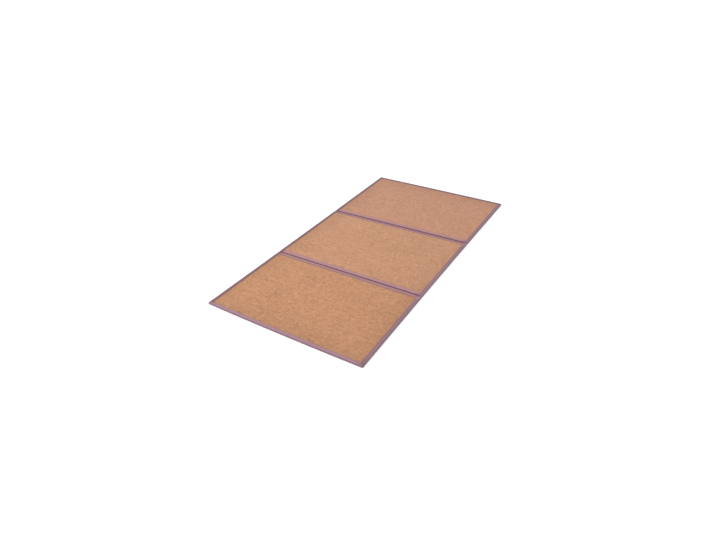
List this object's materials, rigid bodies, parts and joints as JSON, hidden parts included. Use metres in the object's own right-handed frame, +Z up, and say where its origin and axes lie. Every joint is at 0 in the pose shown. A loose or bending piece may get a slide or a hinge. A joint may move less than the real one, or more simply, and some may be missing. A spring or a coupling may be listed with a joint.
{
  "type": "folding tatami mat",
  "caption": "Folding tatami mat lying open: woven rush panels joined at creased cloth folds, with a cloth binding folded round the whole outline; a flat floor mat to sit or sleep on.",
  "frame": {"origin": "on the floor, under the middle of the mat's bounding box", "axes": "+Z up from the floor, +Y along the mat from the panel nearest the picture's viewer to the farthest, +X across the mat to the picture's near right side"},
  "size_m": [0.9, 1.806, 0.0084],
  "materials": {
    "rush_weave": "dry, faintly satin woven rush, tan to light orange brown",
    "binding_cloth": "matt woven cotton tape, dusty mauve"
  },
  "bodies": {
    "root": {"panel_near": "rush_weave", "panel_middle": "rush_weave", "panel_far": "rush_weave", "fold_ribbon_near_top": "binding_cloth", "fold_ribbon_near_under": "binding_cloth", "fold_ribbon_far_top": "binding_cloth", "fold_ribbon_far_under": "binding_cloth", "tape_front": "binding_cloth", "tape_back": "binding_cloth", "tape_left": "binding_cloth", "tape_right": "binding_cloth"}
  },
  "joints": []
}
